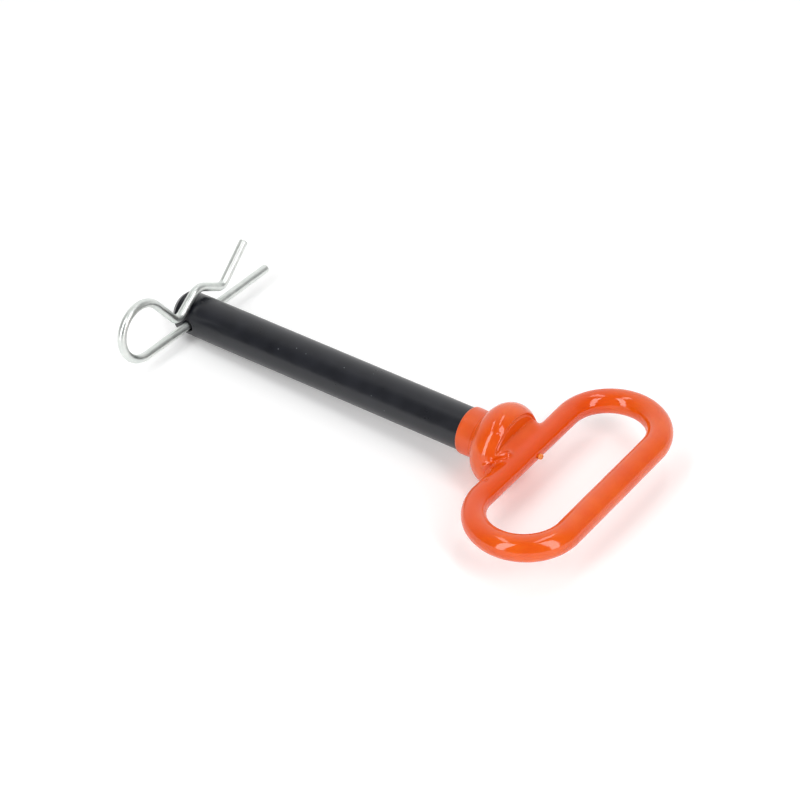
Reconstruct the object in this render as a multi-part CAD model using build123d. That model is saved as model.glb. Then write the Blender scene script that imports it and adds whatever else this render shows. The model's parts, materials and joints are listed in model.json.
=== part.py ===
import os
from math import acos, asin, atan2, cos, degrees, hypot, pi, radians, sin

from build123d import *

os.makedirs("parts", exist_ok=True)

# A handled hitch pin: one steel forging dipped in soft vinyl, and a hairpin clip through its tip.
# Construction frame: +X runs along the shank from its tip to the handle, Y is the length of the
# hand loop and +Z is up. The finished pieces are then laid down as the pin rests on a floor.

# Shank
shank_diameter = 19.0
tip_to_collar = 163.8
tip_chamfer_length = 2.2
tip_chamfer_depth = 1.9
tip_lead_length = 13.0
tip_lead_depth = 0.15

# Collar: a flat back and a round rim
collar_rim_radius = 7.7
collar_diameter = 34.6
collar_back_reach = 5.0
root_draft = 0.3

# Neck between the collar and the loop
neck_width = 28.0
neck_height_at_collar = 12.6
neck_height_at_loop = 7.6
neck_flare = 2.0
neck_corner_radius = 3.2

# Hand loop: a round bar bent to a slot shape, in the plane of the shank
loop_bar_diameter = 8.4
loop_bar_from_collar = 6.0
loop_bar_spacing = 41.1
loop_length_between_centres = 61.6

# Vinyl dip: it hung with the loop down, so the skin is thickest on the far bar
skin_on_collar = 1.0
skin_on_sleeve = 0.9
skin_on_near_bar = 0.9
skin_on_far_bar = 1.6
sleeve_length = 9.0
sleeve_edge_round = 0.5
flat_spot_width = 6.0
drip_radius = 1.2
drip_offset = 2.0
drip_sink = 0.5

# Hairpin clip: one bent wire, straight leg through the shank and waved leg over it
wire_diameter = 3.9
clip_hole_from_tip = 9.6
clip_hole_play = 0.65
clip_hole_chamfer = 0.4
leg_beyond_shank = 34.7
eye_centre_from_shank = 25.2
eye_radius = 12.6
near_dip_from_shank = 3.5
near_dip_gap = 2.75
dip_radius = 4.1
bow_offset = 1.1
bow_lift = 2.1
bow_radius = 7.3
far_dip_from_shank = 5.5
far_dip_gap = 3.4
flare_end_from_shank = 23.8
flare_end_height = 20.6
wire_end_round = 0.6
clip_lean = 4.5
clip_skew = 2.1

# Derived places along the shank
shank_radius = shank_diameter / 2
tip_radius = shank_radius - tip_lead_depth
wire_radius = wire_diameter / 2
rim_centre_x = tip_to_collar + collar_rim_radius
rim_centre_r = collar_diameter / 2 - collar_rim_radius
collar_back_x = rim_centre_x + collar_back_reach
near_bar_x = collar_back_x + loop_bar_from_collar
far_bar_x = near_bar_x + loop_bar_spacing
sleeve_edge_x = tip_to_collar - skin_on_collar - sleeve_length
end_bend_radius = loop_bar_spacing / 2
loop_middle_x = (near_bar_x + far_bar_x) / 2
half_straight = loop_length_between_centres / 2


def turned_body(front, root_radius, skin):
    """Solid turned about X: a front profile from the axis out, then the collar."""
    rim = collar_rim_radius + skin
    back_x = collar_back_x + skin
    back = (back_x, rim_centre_r + (rim**2 - (back_x - rim_centre_x) ** 2) ** 0.5)
    root = (rim_centre_x - (rim**2 - (root_radius - rim_centre_r) ** 2) ** 0.5, root_radius)
    top = (rim_centre_x, rim_centre_r + rim)
    points = front + [root]
    outline = [Line(start, end) for start, end in zip(points, points[1:])]
    outline += [RadiusArc(root, top, rim), RadiusArc(top, back, rim)]
    outline += [Line(back, (back_x, 0)), Line((back_x, 0), front[0])]
    return revolve(make_face(outline), Axis.X)

def neck(skin):
    """Web that tapers from the collar's back into the near bar of the loop."""
    root_x = rim_centre_x
    root = Plane(origin=(root_x, 0, 0), x_dir=(0, 1, 0), z_dir=(1, 0, 0))
    tip = Plane(origin=(near_bar_x, 0, 0), x_dir=(0, 1, 0), z_dir=(1, 0, 0))
    rise = (neck_height_at_collar - neck_height_at_loop) / loop_bar_from_collar
    root_height = neck_height_at_loop + rise * (near_bar_x - root_x)
    corner = neck_corner_radius + skin
    low = root * RectangleRounded(neck_width + 2 * skin, root_height + 2 * skin, corner)
    high_width = neck_width + 2 * neck_flare + 2 * skin
    high = tip * RectangleRounded(high_width, neck_height_at_loop + 2 * skin, corner)
    return loft([low, high])


def hand_loop(near_radius, far_radius):
    """Slot-shaped ring of round bar, its section growing from the near bar to the far bar."""
    near_face = Plane(origin=(near_bar_x, half_straight, 0), z_dir=(0, 1, 0))
    far_face = Plane(origin=(far_bar_x, half_straight, 0), z_dir=(0, -1, 0))
    bend = CenterArc((loop_middle_x, half_straight), end_bend_radius, 180, -180)
    sections = [near_face * Circle(near_radius), far_face * Circle(far_radius)]
    right_bend = sweep(sections, bend, multisection=True)
    near_bar = extrude(near_face * Circle(near_radius), -2 * half_straight)
    far_bar = extrude(far_face * Circle(far_radius), 2 * half_straight)
    return near_bar + right_bend + far_bar + mirror(right_bend, Plane.XZ)


def drilled(body):
    """Cut the cross hole for the clip's straight leg and break the edge of both its mouths."""
    radius = wire_radius + clip_hole_play
    plane = Plane(origin=(clip_hole_from_tip, -shank_radius, 0), z_dir=(0, 1, 0))
    body = body - extrude(plane * Circle(radius), shank_diameter)
    wall = body.faces().filter_by(GeomType.CYLINDER).filter_by(lambda face: abs(face.radius - radius) < 1e-6)
    return chamfer(wall.edges().filter_by(GeomType.BSPLINE), clip_hole_chamfer)


def point_on(circle, angle):
    """Point of a circle (u, v, radius) at an angle in radians."""
    return (circle[0] + circle[2] * cos(angle), circle[1] + circle[2] * sin(angle))


def clip_path():
    """Centreline of the clip in its own plane: u runs across the shank, v stands up from the leg."""
    eye = (-shank_radius - eye_centre_from_shank, eye_radius, eye_radius)
    near_dip = (-shank_radius - near_dip_from_shank, wire_diameter + near_dip_gap + dip_radius, dip_radius)
    crest = shank_radius + wire_radius + bow_lift
    bow = (bow_offset, crest - bow_radius, bow_radius)
    far_dip = (shank_radius + far_dip_from_shank, wire_diameter + far_dip_gap + dip_radius, dip_radius)
    flare_end = (shank_radius + flare_end_from_shank, flare_end_height)
    leg_end = (shank_radius + leg_beyond_shank, 0)
    # The wire turns clockwise round the eye and the bow, and the other way in both dips.
    bends = [eye, near_dip, bow, far_dip]
    turns = [-1, 1, -1, 1]
    entry = -pi / 2
    here = point_on(eye, entry)
    path = [Line(leg_end, here)]
    for i, (bend, turn) in enumerate(zip(bends, turns)):
        if i + 1 < len(bends):
            target = bends[i + 1]
            reach = bend[2] + target[2]
        else:
            target = flare_end
            reach = bend[2]
        run = hypot(target[0] - bend[0], target[1] - bend[1])
        heading = atan2(target[1] - bend[1], target[0] - bend[0])
        leave = heading - turn * acos(reach / run)
        sweep_angle = turn * ((turn * (leave - entry)) % (2 * pi))
        path.append(CenterArc(bend[:2], bend[2], degrees(entry), degrees(sweep_angle)))
        start = point_on(bend, leave)
        if i + 1 < len(bends):
            entry = leave + pi
            finish = point_on(target, entry)
        else:
            finish = flare_end
        path.append(Line(start, finish))
    return path


def hairpin_clip():
    """Round wire along the clip's path, its plane stood over the cross hole."""
    lean = radians(clip_lean)
    flat = Plane(origin=(clip_hole_from_tip, 0, 0), x_dir=(0, 1, 0), z_dir=(cos(lean), 0, sin(lean)))
    path = Wire([flat.from_local_coords(edge) for edge in clip_path()])
    wire = sweep(Plane(origin=path @ 0, z_dir=path % 0) * Circle(wire_radius), path)
    ends = wire.faces().filter_by(GeomType.PLANE).edges()
    wire = fillet(ends, wire_end_round)
    return wire.rotate(Axis((clip_hole_from_tip, 0, 0), (0, 0, 1)), -clip_skew)


# Forging: shank, collar, neck and loop core in one piece. The shank has a slight lead up to its
# full size past the clip, and a forging's draft into the collar from the sleeve's edge on.
shank_profile = [
    (0, 0),
    (0, tip_radius - tip_chamfer_depth),
    (tip_chamfer_length, tip_radius),
    (tip_lead_length, shank_radius),
    (sleeve_edge_x, shank_radius),
]
core_radius = loop_bar_diameter / 2
blank = turned_body(shank_profile, shank_radius + root_draft, 0)
forging = blank + neck(0) + hand_loop(core_radius, core_radius)
forged_pin = drilled(forging)

# Dip: everything behind the sleeve's edge, one skin thicker than the forging
sleeve_radius = shank_radius + skin_on_sleeve
sleeve_profile = [
    (sleeve_edge_x, 0),
    (sleeve_edge_x, sleeve_radius - sleeve_edge_round),
    (sleeve_edge_x + sleeve_edge_round, sleeve_radius),
]
dipped_collar = turned_body(sleeve_profile, sleeve_radius, skin_on_collar)
dipped_loop = hand_loop(core_radius + skin_on_near_bar, core_radius + skin_on_far_bar)
drip_x = near_bar_x + core_radius + skin_on_near_bar + drip_radius - drip_sink
drip = Pos(drip_x, drip_offset, 0) * Sphere(drip_radius)
vinyl_grip = dipped_collar + neck(skin_on_near_bar) + dipped_loop + drip - forging

# Resting pose: the tip's chamfer edge and the collar's rim both touch the floor, and the soft skin
# on the rim has taken a small flat spot there, which keeps the pin from rolling.
rim_radius = collar_rim_radius + skin_on_collar
dipped_collar_radius = rim_centre_r + rim_radius
flat_spot_depth = dipped_collar_radius - (dipped_collar_radius**2 - (flat_spot_width / 2) ** 2) ** 0.5
touch_run = rim_centre_x - tip_chamfer_length
touch_drop = rim_centre_r - tip_radius
rim_to_floor = rim_radius - flat_spot_depth
rest_angle = asin(rim_to_floor / hypot(touch_run, touch_drop)) + atan2(touch_drop, touch_run)
floor = tip_chamfer_length * sin(rest_angle) - tip_radius * cos(rest_angle)
tilt = Rot(0, -degrees(rest_angle), 0)
floor_slab = Box(2 * far_bar_x, 2 * far_bar_x, dipped_collar_radius)
under_floor = Pos(0, 0, floor - dipped_collar_radius / 2) * floor_slab

laid = {
    "forged_pin": tilt * forged_pin,
    "vinyl_grip": tilt * vinyl_grip - under_floor,
    "hairpin_clip": tilt * hairpin_clip(),
}
box = Compound(list(laid.values())).bounding_box()
place = Pos(-box.center().X, -box.center().Y, -floor)

for name, piece in laid.items():
    export_step(place * piece, f"parts/{name}.step")
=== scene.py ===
import bpy
import json
import math
import numpy as np
from mathutils import Matrix, Vector, noise


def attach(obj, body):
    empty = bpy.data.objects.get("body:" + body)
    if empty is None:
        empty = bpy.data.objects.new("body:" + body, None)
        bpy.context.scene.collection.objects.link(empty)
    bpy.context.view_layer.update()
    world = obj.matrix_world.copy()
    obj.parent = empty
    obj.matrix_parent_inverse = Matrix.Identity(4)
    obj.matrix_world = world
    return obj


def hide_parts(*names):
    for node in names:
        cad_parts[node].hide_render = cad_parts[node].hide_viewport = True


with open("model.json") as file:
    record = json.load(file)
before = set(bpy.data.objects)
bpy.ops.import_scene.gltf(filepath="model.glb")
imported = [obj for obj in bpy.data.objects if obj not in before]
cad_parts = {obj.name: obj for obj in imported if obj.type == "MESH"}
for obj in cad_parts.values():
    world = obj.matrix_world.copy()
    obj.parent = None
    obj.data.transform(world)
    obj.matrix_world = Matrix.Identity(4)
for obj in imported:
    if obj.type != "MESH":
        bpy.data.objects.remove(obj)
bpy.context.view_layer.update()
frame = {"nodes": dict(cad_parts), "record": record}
bpy.ops.object.select_all(action="DESELECT")
print("frame loaded:", ", ".join(sorted(frame["nodes"])))

mm = 0.001
nearly = 0.1  # mm, for picking points by their place

# The shank's own line comes from the record: which way it runs, and where the vinyl sleeve begins
shank = next(m for m in frame["record"]["mounts"] if m["name"] == "shank")
pinDirection = -Vector(shank["axis"]).normalized()
sleeveEdge = Vector(shank["pos_m"]) + pinDirection * shank["dims"]["length_mm"] * mm / 2
restTilt = math.asin(pinDirection.z)
layDown = Matrix.Translation(sleeveEdge) @ Matrix.Rotation(-restTilt, 4, "Y")


# Places in metres, lens and sensor in mm
cameraSizes = {
    "lens": 117.0,
    "sensor": 36.0,
    "place": (0.49771, -0.67228, 0.72050),
    "target": (0.00155, 0.00344, 0.0120),
    "clip": (0.05, 20),
}


def placeCamera(sizes):
    place = Vector(sizes["place"])
    look = Vector(sizes["target"]) - place
    bpy.ops.object.camera_add(location=place, rotation=look.to_track_quat("-Z", "Y").to_euler())
    camera = bpy.context.object
    camera.name = "studioCamera"
    camera.data.lens = sizes["lens"]
    camera.data.sensor_width = sizes["sensor"]
    camera.data.clip_start, camera.data.clip_end = sizes["clip"]
    bpy.context.scene.camera = camera


placeCamera(cameraSizes)
print("camera placed")


# sRGB hex to the linear colour that a shader takes
def hexColor(code):
    channels = [int(code[i:i + 2], 16) / 255 for i in (0, 2, 4)]
    return [c / 12.92 if c <= 0.04045 else ((c + 0.055) / 1.055) ** 2.4 for c in channels] + [1]


def addNode(tree, kind, settings=None, links=None):
    node = tree.nodes.new(kind)
    for key, value in (settings or {}).items():
        if isinstance(key, int) or key in node.inputs:
            node.inputs[key].default_value = value
        else:
            setattr(node, key, value)
    for key, source in (links or {}).items():
        tree.links.new(source, node.inputs[key])
    return node


def newMaterial(name):
    material = bpy.data.materials.new(name)
    material.use_nodes = True
    tree = material.node_tree
    tree.nodes.clear()
    return material, tree, tree.nodes.new("ShaderNodeOutputMaterial")


# Each finish has its shades with their places on the ramp, and its patterns' sizes in mm. A bump is
# its strength and height. Places along the pin count from the sleeve's edge.
dipFinish = {
    "shades": ((0.42, "DE500A"), (0.86, "E65E12")),
    "swells": 12.0,  # from one thick place to the next
    "grain": 1.6,  # the pigment's
    "grainShare": 0.25,
    "swellBump": (0.12, 0.12),
    "grainBump": (0.05, 0.03),
    "roughness": 0.08,
    "ior": 1.53,
    "softness": 0.12,
    "softDepth": 1.2,
    "softColor": (1.0, 0.3, 0.12),
    "sleeveRoughness": 0.32,
    "sleeveEnds": (6.0, 9.0),
    # painted shade: a deeper orange over the neck and the near bar, and where it fades in and out
    "paintedShade": "DF4E08",
    "paintedShadeStarts": (24.5, 28.5),
    "paintedShadeEnds": (33.0, 44.0),
}


def plastisolSkin(finish):
    # Orange PVC plastisol, dipped and oven-cured: wet gloss over one soft colour, a little uneven
    # where it ran thick
    material, tree, output = newMaterial("orangePlastisolDip")
    place = addNode(tree, "ShaderNodeTexCoord").outputs["Object"]
    swells = addNode(tree, "ShaderNodeTexNoise", {
        "Scale": 1 / (finish["swells"] * mm), "Detail": 2.0, "Roughness": 0.5}, {"Vector": place})
    grain = addNode(tree, "ShaderNodeTexNoise", {
        "Scale": 1 / (finish["grain"] * mm), "Detail": 3.0, "Roughness": 0.6}, {"Vector": place})
    mixed = addNode(tree, "ShaderNodeMath", {"operation": "MULTIPLY_ADD", 1: finish["grainShare"]},
                    {0: grain.outputs["Fac"], 2: swells.outputs["Fac"]})
    shades = addNode(tree, "ShaderNodeValToRGB", {}, {"Fac": mixed.outputs[0]})
    for element, (position, code) in zip(shades.color_ramp.elements, finish["shades"]):
        element.position, element.color = position, hexColor(code)

    # The sleeve was wiped and dried duller. Over the neck, the near bar and the loop beside it a deeper
    # orange is painted in as painted shade. Each change runs over a stretch of the pin.
    across = addNode(tree, "ShaderNodeSeparateXYZ", {}, {"Vector": place})
    changes = {}
    for name, before, after in (("sleeveEnds", finish["sleeveRoughness"], finish["roughness"]),
                                ("paintedShadeStarts", 0.0, 1.0), ("paintedShadeEnds", 1.0, 0.0)):
        low, high = finish[name]
        changes[name] = addNode(tree, "ShaderNodeMapRange", {
            "interpolation_type": "SMOOTHSTEP",
            "From Min": sleeveEdge.x + low * mm, "From Max": sleeveEdge.x + high * mm,
            "To Min": before, "To Max": after}, {"Value": across.outputs["X"]}).outputs[0]
    # painted shade: the stretch of the pin where the deeper orange is painted in
    paintedShadeMask = addNode(tree, "ShaderNodeMath", {"operation": "MULTIPLY"},
                   {0: changes["paintedShadeStarts"], 1: changes["paintedShadeEnds"]})
    paintedShadeOrange = addNode(tree, "ShaderNodeMix", {"data_type": "RGBA", 7: hexColor(finish["paintedShade"])},
                     {0: paintedShadeMask.outputs[0], 6: shades.outputs["Color"]})

    strength, height = finish["swellBump"]
    swellBump = addNode(tree, "ShaderNodeBump", {"Strength": strength, "Distance": height * mm},
                        {"Height": swells.outputs["Fac"]})
    strength, height = finish["grainBump"]
    grainBump = addNode(tree, "ShaderNodeBump", {"Strength": strength, "Distance": height * mm},
                        {"Height": grain.outputs["Fac"], "Normal": swellBump.outputs["Normal"]})
    shader = addNode(tree, "ShaderNodeBsdfPrincipled", {
        "IOR": finish["ior"], "Subsurface Weight": finish["softness"],
        "Subsurface Scale": finish["softDepth"] * mm, "Subsurface Radius": finish["softColor"]},
        {"Base Color": paintedShadeOrange.outputs[2], "Roughness": changes["sleeveEnds"],
         "Normal": grainBump.outputs["Normal"]})
    tree.links.new(shader.outputs["BSDF"], output.inputs["Surface"])
    return material


dropFinish = {
    "shades": ((0.35, "D9741C"), (0.65, "F0A04A")),
    "clouds": 0.8,
    "roughness": 0.12,
    "ior": 1.53,
    "softness": 0.4,
    "softDepth": 1.0,
    "softColor": (1.0, 0.5, 0.2),
}


def plastisolBead(finish):
    # The same plastisol in a thick cured drop, which lets more light through and looks amber
    material, tree, output = newMaterial("amberPlastisolDrop")
    place = addNode(tree, "ShaderNodeTexCoord").outputs["Object"]
    clouds = addNode(tree, "ShaderNodeTexNoise", {"Scale": 1 / (finish["clouds"] * mm), "Detail": 2.0},
                     {"Vector": place})
    shades = addNode(tree, "ShaderNodeValToRGB", {}, {"Fac": clouds.outputs["Fac"]})
    for element, (position, code) in zip(shades.color_ramp.elements, finish["shades"]):
        element.position, element.color = position, hexColor(code)
    shader = addNode(tree, "ShaderNodeBsdfPrincipled", {
        "Roughness": finish["roughness"], "IOR": finish["ior"], "Subsurface Weight": finish["softness"],
        "Subsurface Scale": finish["softDepth"] * mm, "Subsurface Radius": finish["softColor"]},
        {"Base Color": shades.outputs["Color"]})
    tree.links.new(shader.outputs["BSDF"], output.inputs["Surface"])
    return material


steelFinish = {
    "shades": ((0.35, "0F1118"), (0.75, "181A22")),
    "marks": 9.0,  # from handling
    "peel": 1.1,
    "peelBump": (0.25, 0.04),
    "gritShade": "6E7276",
    "gritSpacing": 4.2,
    "gritRadius": 0.055,  # of the spacing
    "gritLeftOut": 0.62,  # share of the specks
    "roughness": (0.27, 0.34),
    "ior": 1.5,
}
noiseSpan = (0.3, 0.7)  # a noise pattern's values lie mostly between these


def coatedSteel(finish):
    # Forged steel under a thin black electrocoat: satin, with a slight orange peel and a few pale
    # specks of grit
    material, tree, output = newMaterial("blackElectrocoatSteel")
    place = addNode(tree, "ShaderNodeTexCoord").outputs["Object"]
    peel = addNode(tree, "ShaderNodeTexNoise", {
        "Scale": 1 / (finish["peel"] * mm), "Detail": 3.0, "Roughness": 0.55}, {"Vector": place})
    marks = addNode(tree, "ShaderNodeTexNoise", {"Scale": 1 / (finish["marks"] * mm), "Detail": 3.0},
                    {"Vector": place})
    shades = addNode(tree, "ShaderNodeValToRGB", {}, {"Fac": marks.outputs["Fac"]})
    for element, (position, code) in zip(shades.color_ramp.elements, finish["shades"]):
        element.position, element.color = position, hexColor(code)

    # Grit: the middles of some cells
    cells = addNode(tree, "ShaderNodeTexVoronoi", {"Scale": 1 / (finish["gritSpacing"] * mm)},
                    {"Vector": place})
    near = addNode(tree, "ShaderNodeMath", {"operation": "LESS_THAN", 1: finish["gritRadius"]},
                   {0: cells.outputs["Distance"]})
    lot = addNode(tree, "ShaderNodeSeparateColor", {}, {"Color": cells.outputs["Color"]})
    chosen = addNode(tree, "ShaderNodeMath", {"operation": "GREATER_THAN", 1: finish["gritLeftOut"]},
                     {0: lot.outputs["Red"]})
    speck = addNode(tree, "ShaderNodeMath", {"operation": "MULTIPLY"},
                    {0: near.outputs[0], 1: chosen.outputs[0]})
    specked = addNode(tree, "ShaderNodeMix", {"data_type": "RGBA", 7: hexColor(finish["gritShade"])},
                      {0: speck.outputs[0], 6: shades.outputs["Color"]})

    gloss = addNode(tree, "ShaderNodeMapRange", {
        "From Min": noiseSpan[0], "From Max": noiseSpan[1],
        "To Min": finish["roughness"][0], "To Max": finish["roughness"][1]},
        {"Value": marks.outputs["Fac"]})
    strength, height = finish["peelBump"]
    bump = addNode(tree, "ShaderNodeBump", {"Strength": strength, "Distance": height * mm},
                   {"Height": peel.outputs["Fac"]})
    shader = addNode(tree, "ShaderNodeBsdfPrincipled", {"IOR": finish["ior"]}, {
        "Base Color": specked.outputs[2], "Roughness": gloss.outputs[0],
        "Normal": bump.outputs["Normal"]})
    tree.links.new(shader.outputs["BSDF"], output.inputs["Surface"])
    return material


wireFinish = {
    "shades": ((0.3, "D3D8D5"), (0.7, "E6E9E5")),
    "clouds": 4.0,
    "crystals": 0.5,
    "crystalBump": (0.04, 0.02),
    "roughness": (0.32, 0.42),
}


def zincWire(finish):
    # Drawn spring wire, bright zinc-plated: a cool pale metal, slightly cloudy, with a fine crystal
    # grain
    material, tree, output = newMaterial("brightZincSpringWire")
    place = addNode(tree, "ShaderNodeTexCoord").outputs["Object"]
    clouds = addNode(tree, "ShaderNodeTexNoise", {
        "Scale": 1 / (finish["clouds"] * mm), "Detail": 4.0, "Roughness": 0.6}, {"Vector": place})
    crystals = addNode(tree, "ShaderNodeTexNoise", {
        "Scale": 1 / (finish["crystals"] * mm), "Detail": 2.0}, {"Vector": place})
    shades = addNode(tree, "ShaderNodeValToRGB", {}, {"Fac": clouds.outputs["Fac"]})
    for element, (position, code) in zip(shades.color_ramp.elements, finish["shades"]):
        element.position, element.color = position, hexColor(code)
    gloss = addNode(tree, "ShaderNodeMapRange", {
        "From Min": noiseSpan[0], "From Max": noiseSpan[1],
        "To Min": finish["roughness"][0], "To Max": finish["roughness"][1]},
        {"Value": clouds.outputs["Fac"]})
    strength, height = finish["crystalBump"]
    bump = addNode(tree, "ShaderNodeBump", {"Strength": strength, "Distance": height * mm},
                   {"Height": crystals.outputs["Fac"]})
    shader = addNode(tree, "ShaderNodeBsdfPrincipled", {"Metallic": 1.0}, {
        "Base Color": shades.outputs["Color"], "Roughness": gloss.outputs[0],
        "Normal": bump.outputs["Normal"]})
    tree.links.new(shader.outputs["BSDF"], output.inputs["Surface"])
    return material


def dress(part, material):
    part.data.materials.clear()
    part.data.materials.append(material)


dipMaterial = plastisolSkin(dipFinish)
dropMaterial = plastisolBead(dropFinish)
dress(frame["nodes"]["forged_pin"], coatedSteel(steelFinish))
dress(frame["nodes"]["hairpin_clip"], zincWire(wireFinish))
print("materials made")


# Sizes in mm, along the pin from the sleeve's edge. The skin is modelled over the steel, its
# thickness included.
gripSizes = {
    "sleeveRadius": 10.4,
    "sleeveBevel": 0.5,
    "rimPlace": 17.7,
    "rimRing": 9.6,
    "rimSection": 8.7,
    "backPlace": 23.7,
    "neckStart": (17.7, 29.8, 24.0),  # place, width, height
    "neckEnd": (28.7, 33.8, 9.4),
    "neckCorner": 6.0,
    "nearBar": 28.7,
    "farBar": 69.8,
    "halfStraight": 30.8,
    "nearBarRadius": 5.16,
    "farBarRadius": 5.84,
    "voxel": 0.48,
}


def selectOnly(part):
    bpy.ops.object.select_all(action="DESELECT")
    part.select_set(True)
    bpy.context.view_layer.objects.active = part


# Into edit mode with only those vertices selected that pick chooses by their place in mm
def editPart(name, pick=None):
    part = bpy.context.object
    part.name = name
    bpy.ops.object.transform_apply(location=True, rotation=True, scale=True)
    if pick:
        bpy.ops.object.mode_set(mode="EDIT")
        bpy.ops.mesh.select_mode(type="VERT")
        bpy.ops.mesh.select_all(action="DESELECT")
        bpy.ops.object.mode_set(mode="OBJECT")
        for vertex in part.data.vertices:
            vertex.select = pick(vertex.co / mm)
    bpy.ops.object.mode_set(mode="EDIT")
    return part


def makeSleeve(sizes):
    length = sizes["backPlace"] * mm
    bpy.ops.mesh.primitive_cylinder_add(
        vertices=96, radius=sizes["sleeveRadius"] * mm, depth=length,
        location=(length / 2, 0, 0), rotation=(0, math.pi / 2, 0))
    sleeve = editPart("sleeve", lambda co: co.x < nearly)
    bpy.ops.mesh.bevel(offset=sizes["sleeveBevel"] * mm, segments=3)
    bpy.ops.object.mode_set(mode="OBJECT")
    return sleeve


# A ring cut flat behind
def makeRim(sizes):
    bpy.ops.mesh.primitive_torus_add(
        major_segments=128, minor_segments=64,
        major_radius=sizes["rimRing"] * mm, minor_radius=sizes["rimSection"] * mm,
        location=(sizes["rimPlace"] * mm, 0, 0), rotation=(0, math.pi / 2, 0))
    rim = editPart("rim")
    bpy.ops.mesh.select_all(action="SELECT")
    bpy.ops.mesh.bisect(plane_co=(sizes["backPlace"] * mm, 0, 0), plane_no=(1, 0, 0),
                        use_fill=True, clear_outer=True)
    bpy.ops.object.mode_set(mode="OBJECT")
    return rim


# A block drawn thin and wide towards the near bar, its edges along the pin rounded
def makeNeck(sizes):
    start, width, height = sizes["neckStart"]
    end, endWidth, endHeight = sizes["neckEnd"]
    bpy.ops.mesh.primitive_cube_add(size=1, location=((start + end) / 2 * mm, 0, 0))
    bpy.context.object.scale = ((end - start) * mm, width * mm, height * mm)
    neck = editPart("neck", lambda co: co.x > end - nearly)
    bpy.ops.transform.resize(value=(1, endWidth / width, endHeight / height),
                             center_override=(end * mm, 0, 0))
    bpy.ops.mesh.select_all(action="DESELECT")
    bpy.ops.mesh.select_mode(type="EDGE")
    bpy.ops.object.mode_set(mode="OBJECT")
    for edge in neck.data.edges:
        a, b = (neck.data.vertices[i].co for i in edge.vertices)
        edge.select = abs(a.x - b.x) > nearly * mm
    bpy.ops.object.mode_set(mode="EDIT")
    bpy.ops.mesh.bevel(offset=sizes["neckCorner"] * mm, segments=6)
    bpy.ops.object.mode_set(mode="OBJECT")
    return neck


def makeLoop(sizes):
    near, far = sizes["nearBar"], sizes["farBar"]
    bpy.ops.mesh.primitive_circle_add(vertices=128, radius=(far - near) / 2 * mm,
                                      location=((near + far) / 2 * mm, 0, 0))
    for side in (1, -1):  # the circle's halves are drawn apart into a slot
        editPart("loop", lambda co: co.y * side > nearly)
        bpy.ops.transform.translate(value=(0, side * sizes["halfStraight"] * mm, 0))
        bpy.ops.object.mode_set(mode="OBJECT")
    bpy.ops.object.convert(target="CURVE")
    loop = bpy.context.object
    loop.data.dimensions = "3D"
    loop.data.bevel_depth = 1 * mm  # times each point's radius
    loop.data.bevel_resolution = 14
    for point in loop.data.splines[0].points:
        share = (point.co.x / mm - near) / (far - near)
        point.radius = sizes["nearBarRadius"] + (sizes["farBarRadius"] - sizes["nearBarRadius"]) * share
    bpy.ops.object.convert(target="MESH")
    return loop


def applyModifier(part, kind, **settings):
    selectOnly(part)
    modifier = part.modifiers.new(kind.lower(), kind)
    for key, value in settings.items():
        setattr(modifier, key, value)
    bpy.ops.object.modifier_apply(modifier=modifier.name)


def makeSkin(sizes):
    parts = []
    for maker in (makeSleeve, makeRim, makeNeck, makeLoop):
        parts.append(maker(sizes))
        bpy.ops.object.select_all(action="DESELECT")
    for part in parts:
        part.select_set(True)
    bpy.context.view_layer.objects.active = parts[0]
    bpy.ops.object.join()
    skin = bpy.context.object
    skin.name = "vinylSkin"
    skin.data.name = "vinylSkin"
    applyModifier(skin, "REMESH", mode="VOXEL", voxel_size=sizes["voxel"] * mm)
    print("handle skin joined:", len(skin.data.vertices), "points")
    return skin


def readPoints(part):
    points = np.zeros(len(part.data.vertices) * 3)
    part.data.vertices.foreach_get("co", points)
    normals = np.zeros(len(part.data.vertices) * 3)
    part.data.vertices.foreach_get("normal", normals)
    return points.reshape(-1, 3) / mm, normals.reshape(-1, 3)


def writePoints(part, points):
    part.data.vertices.foreach_set("co", (points * mm).ravel())
    part.data.update()


def smoothStep(low, high, values):
    t = np.clip((values - low) / (high - low), 0, 1)
    return t * t * (3 - 2 * t)


# Where the smoothing comes in and fades out, in mm along the pin or to its side
junctionSizes = {
    "barsStart": (25.5, 28.0),
    "cornersStart": (21.5, 24.5),
    "cornersBeside": (9.0, 14.0),
    "fadeBeside": (21.0, 26.0),
    "fadeAlong": (30.0, 34.0),
    "passes": 50,
    "passesAllOver": 6,
}


# The dip fills the corners where the neck leaves the collar and runs into the near bar
def softenJunctions(skin, sizes):
    points, _ = readPoints(skin)
    along, side = points[:, 0], np.abs(points[:, 1])
    bars = smoothStep(*sizes["barsStart"], along)
    corners = smoothStep(*sizes["cornersStart"], along) * smoothStep(*sizes["cornersBeside"], side)
    weights = np.maximum(bars, corners) * (1 - smoothStep(*sizes["fadeBeside"], side))
    weights *= 1 - smoothStep(*sizes["fadeAlong"], along)
    group = skin.vertex_groups.new(name="junction")
    for i in np.nonzero(weights > 0.01)[0]:
        group.add([int(i)], float(weights[i]), "REPLACE")
    applyModifier(skin, "SMOOTH", factor=0.5, iterations=sizes["passes"], vertex_group="junction")
    applyModifier(skin, "SMOOTH", factor=0.5, iterations=sizes["passesAllOver"])


skin = makeSkin(gripSizes)
softenJunctions(skin, junctionSizes)


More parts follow.
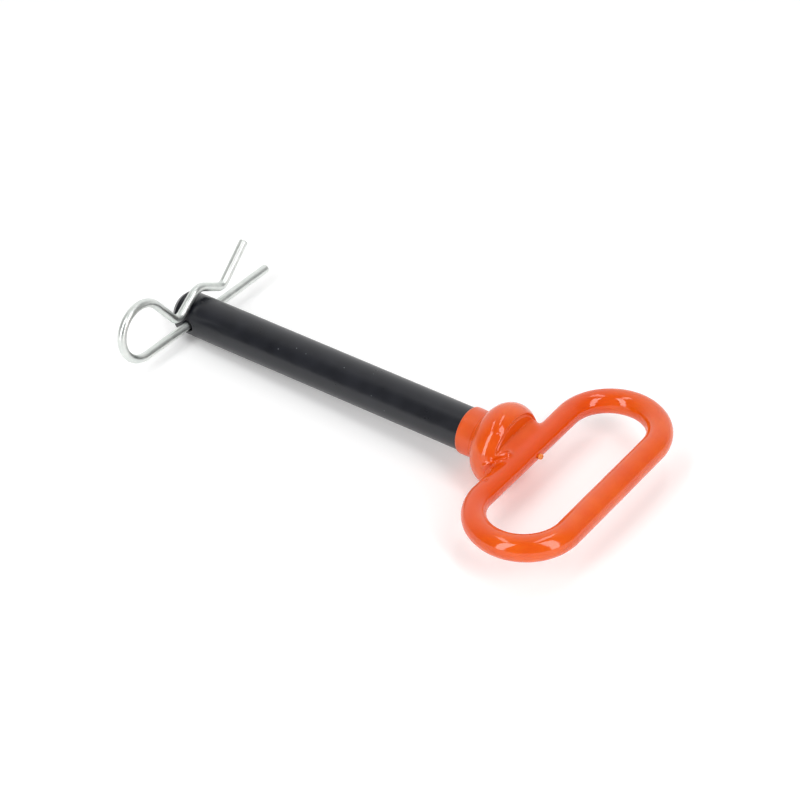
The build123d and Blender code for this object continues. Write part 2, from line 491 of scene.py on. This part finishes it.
# Places in mm along the pin from the sleeve's edge, to its side and up. A fold is pressed in along
# its points, or along part of a ring: its place, radius and two angles. A ridge has a depth below 0.
foldSizes = {
    "creaseBehindRim": {"ring": (23.8, 15.3, 34, 158), "width": 0.45, "depth": 0.45},
    "creaseOnNeck": {
        "points": [(23.7, -13.2, 7.4), (23.7, -7.3, 8.1), (23.8, -1.5, 8.6), (24.0, 4.0, 8.4)],
        "width": 0.45, "depth": 0.4},
    "upperRidge": {
        "points": [(22.9, -15.6, 5.7), (24.1, -14.0, 6.3), (24.9, -12.6, 6.5), (25.6, -11.2, 6.5),
                   (26.4, -10.0, 6.2)],
        "width": 0.7, "depth": -0.5},
    "ridgeEnd": {"points": [(26.7, -9.6, 6.0), (27.0, -9.2, 5.8)], "width": 1.3, "depth": -0.6},
    "creaseUnderIt": {
        "points": [(23.8, -15.0, 4.9), (25.4, -13.2, 5.4), (27.0, -11.8, 5.3)],
        "width": 0.5, "depth": 0.35},
    "lowerRidge": {
        "points": [(19.8, -17.9, 2.1), (21.5, -17.1, 3.4), (23.4, -15.6, 4.6)],
        "width": 0.8, "depth": -0.5},
    "creaseToBar": {
        "points": [(20.6, -17.8, -1.0), (22.0, -17.3, 1.0), (23.4, -16.6, 2.6)],
        "width": 0.5, "depth": 0.4},
    "dimple": {"points": [(27.8, -27.3, 5.0), (27.9, -26.6, 5.0)], "width": 0.55, "depth": 0.6},
    "pimple": {"points": [(22.0, -9.7, 14.2), (22.1, -9.4, 14.3)], "width": 0.5, "depth": -0.25},
}
fineMesh = {
    "rimPlace": (21.5, 25.0),
    "rimRadius": 14.0,
    "cornerPlace": ((18.5, 29.0), (-19.5, -7.0), (-3.0, 12.0)),
    "dimplePlace": (27.9, -27.0, 3.0),
    "dimpleRadius": 2.5,
}


# The gathered corner and the rim's rear edge get a finer mesh, so that small folds can be pressed in
def refineFolds(skin, sizes):
    selectOnly(skin)
    bpy.ops.object.mode_set(mode="EDIT")
    bpy.ops.mesh.select_mode(type="FACE")
    bpy.ops.mesh.select_all(action="DESELECT")
    bpy.ops.object.mode_set(mode="OBJECT")
    rimLow, rimHigh = sizes["rimPlace"]
    dimpleX, dimpleY, dimpleZ = sizes["dimplePlace"]
    for face in skin.data.polygons:
        x, y, z = face.center / mm
        onRim = rimLow < x < rimHigh and math.hypot(y, z) > sizes["rimRadius"] and z > 0
        gathered = all(low < c < high for c, (low, high) in zip((x, y, z), sizes["cornerPlace"]))
        dimpled = math.hypot(x - dimpleX, y - dimpleY) < sizes["dimpleRadius"] and z > dimpleZ
        face.select = onRim or gathered or dimpled
    bpy.ops.object.mode_set(mode="EDIT")
    bpy.ops.mesh.subdivide(number_cuts=1, smoothness=0)
    bpy.ops.object.mode_set(mode="OBJECT")


# A fold's line, divided finely and laid onto the skin
def foldLine(fold, surface):
    if "ring" in fold:
        x, radius, start, end = fold["ring"]
        angles = np.radians(np.linspace(start, end, 60))
        line = np.stack([np.full(60, x), -radius * np.cos(angles), radius * np.sin(angles)], 1)
    else:
        ends = np.array(fold["points"])
        steps = np.linspace(0, len(ends) - 1, 24)
        line = np.stack([np.interp(steps, np.arange(len(ends)), ends[:, i]) for i in range(3)], 1)
    laid = np.array([surface[np.argmin(((surface - p) ** 2).sum(1))] for p in line])
    for _ in range(10):  # evens out the small steps from point to point
        laid[1:-1] = (laid[:-2] + 2 * laid[1:-1] + laid[2:]) / 4
    return laid


def pressFolds(skin, folds):
    points, normals = readPoints(skin)
    shift = np.zeros(len(points))
    for fold in folds.values():
        line = foldLine(fold, points)
        nearest = np.full(len(points), np.inf)
        for a, b in zip(line, line[1:]):
            t = np.clip(((points - a) @ (b - a)) / ((b - a) @ (b - a)), 0, 1)
            nearest = np.minimum(nearest, np.linalg.norm(points - (a + t[:, None] * (b - a)), axis=1))
        shift -= fold["depth"] * np.exp(-(nearest / fold["width"]) ** 2)
    writePoints(skin, points + normals * shift[:, None])


# Spacing and height of the swells in mm. They start behind the sleeve's edge, and stay inside the
# full size.
swellSizes = {
    "slow": (13, 0.05),
    "quick": (4.5, 0.02),
    "below": 0.05,
    "start": (0.8, 2.5),
}


# Thick and thin places in the dip
def swellSkin(skin, sizes):
    points, normals = readPoints(skin)
    (slow, slowHeight), (quick, quickHeight) = sizes["slow"], sizes["quick"]
    shift = np.array([slowHeight * noise.noise(Vector(p) / slow)
                      + quickHeight * noise.noise(Vector(p) / quick) - sizes["below"] for p in points])
    shift *= smoothStep(*sizes["start"], points[:, 0])
    writePoints(skin, points + normals * shift[:, None])


refineFolds(skin, fineMesh)
pressFolds(skin, foldSizes)
swellSkin(skin, swellSizes)
print("folds and swells pressed into the skin:", len(skin.data.polygons), "faces")


beadSizes = {
    "place": (34.5, 2.0, 0),
    "radius": 1.3,
    "tipStart": 35.55,
    "tipFall": 0.75,
}


# The last drop of the dip, cured on the near bar, with its tip fallen in
def makeBead(sizes):
    bpy.ops.object.select_all(action="DESELECT")
    bpy.ops.mesh.primitive_uv_sphere_add(
        segments=32, ring_count=16, radius=sizes["radius"] * mm,
        location=[c * mm for c in sizes["place"]], rotation=(0, math.pi / 2, 0))
    bead = editPart("vinylDrip", lambda co: co.x > sizes["tipStart"])
    bpy.ops.transform.translate(value=(-sizes["tipFall"] * mm, 0, 0))
    bpy.ops.object.mode_set(mode="OBJECT")
    applyModifier(bead, "SUBSURF", levels=1, render_levels=1)
    return bead


# From the pin's own line to its rest on the floor, with no point below it
def layOnFloor(part):
    part.data.transform(layDown)
    for vertex in part.data.vertices:
        vertex.co.z = max(vertex.co.z, 0.01 * mm)
    part.data.update()


bead = makeBead(beadSizes)
for part, material in ((skin, dipMaterial), (bead, dropMaterial)):
    layOnFloor(part)
    dress(part, material)
    selectOnly(part)
    bpy.ops.object.shade_smooth()
    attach(part, "pin")
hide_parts("vinyl_grip")
print("handle finished")


# Each lamp is a strip between two directions, given as azimuth and elevation. Sizes are in metres,
# power in watts.
lampSizes = {
    "leftStrip": {"low": (-4, 1), "high": (-4, 63), "distance": 1.3, "width": 0.34, "power": 9.0},
    "rightStrip": {"low": (80, 1), "high": (80, 68), "distance": 1.3, "width": 0.37, "power": 9.8},
    "leftTop": {"low": (-20, 65), "high": (-95, 68), "distance": 1.3, "width": 0.15, "power": 1.15},
    "rightTop": {"low": (75, 78), "high": (-170, 64), "distance": 1.3, "width": 0.15, "power": 1.35},
}
# A white backdrop behind the object, and dim on the camera's side
roomSizes = {
    "floorSize": 12,
    "floorShade": "FAFAFA",
    "floorGlow": 0.15,
    "backdrop": 1.14,
    "nearSide": 0.16,
    "backToward": (-0.595, 0.804, 0),
    "turn": (-0.25, 0.92),  # from nearSide to backdrop, as the cosine from backToward
}


def makeFloor(room):
    bpy.ops.object.select_all(action="DESELECT")
    bpy.ops.mesh.primitive_plane_add(size=room["floorSize"], location=(0, 0, 0))
    floor = bpy.context.object
    floor.name = "studioFloor"
    material, tree, output = newMaterial("whitePaper")
    paper = addNode(tree, "ShaderNodeBsdfDiffuse", {"Color": hexColor(room["floorShade"])})

    # A faint glow that lights nothing: only the camera, gloss and glass see it
    rays = addNode(tree, "ShaderNodeLightPath")
    seen = addNode(tree, "ShaderNodeMath", {"operation": "MAXIMUM"},
                   {0: rays.outputs["Is Camera Ray"], 1: rays.outputs["Is Glossy Ray"]})
    shown = addNode(tree, "ShaderNodeMath", {"operation": "MAXIMUM"},
                    {0: seen.outputs[0], 1: rays.outputs["Is Transmission Ray"]})
    lift = addNode(tree, "ShaderNodeMath", {"operation": "MULTIPLY", 1: room["floorGlow"]},
                   {0: shown.outputs[0]})
    glow = addNode(tree, "ShaderNodeEmission", {"Color": (1, 1, 1, 1)}, {"Strength": lift.outputs[0]})
    both = addNode(tree, "ShaderNodeAddShader", {}, {0: paper.outputs[0], 1: glow.outputs[0]})
    tree.links.new(both.outputs[0], output.inputs["Surface"])
    dress(floor, material)


def towardPoint(azimuth, elevation):
    a, e = math.radians(azimuth), math.radians(elevation)
    return Vector((math.sin(a) * math.cos(e), -math.cos(a) * math.cos(e), math.sin(e)))


def makeLamps(lamps):
    for name, lamp in lamps.items():
        low, high = towardPoint(*lamp["low"]), towardPoint(*lamp["high"])
        outward = (low + high).normalized()
        along = (high - low).normalized()
        turn = Matrix((along.cross(outward), along, outward)).transposed()
        bpy.ops.object.light_add(type="AREA", location=outward * lamp["distance"],
                                 rotation=turn.to_euler())
        light = bpy.context.object
        light.name = name
        light.data.shape = "RECTANGLE"
        light.data.size = lamp["width"]
        light.data.size_y = lamp["distance"] * 2 * math.tan(low.angle(high) / 2)
        light.data.energy = lamp["power"]


def makeWorld(room):
    world = bpy.data.worlds.new("studioWorld")
    bpy.context.scene.world = world
    world.use_nodes = True
    tree = world.node_tree
    tree.nodes.clear()
    output = tree.nodes.new("ShaderNodeOutputWorld")
    toward = addNode(tree, "ShaderNodeTexCoord").outputs["Generated"]
    facing = addNode(tree, "ShaderNodeVectorMath", {"operation": "DOT_PRODUCT", 1: room["backToward"]},
                     {0: toward})
    lit = addNode(tree, "ShaderNodeMapRange", {
        "interpolation_type": "SMOOTHSTEP", "From Min": room["turn"][0], "From Max": room["turn"][1],
        "To Min": room["nearSide"], "To Max": room["backdrop"]}, {"Value": facing.outputs["Value"]})
    sky = addNode(tree, "ShaderNodeBackground", {"Color": (1, 1, 1, 1)}, {"Strength": lit.outputs[0]})
    tree.links.new(sky.outputs[0], output.inputs["Surface"])


makeFloor(roomSizes)
makeLamps(lampSizes)
makeWorld(roomSizes)
bpy.context.scene.view_settings.view_transform = "Standard"
print("studio lit")
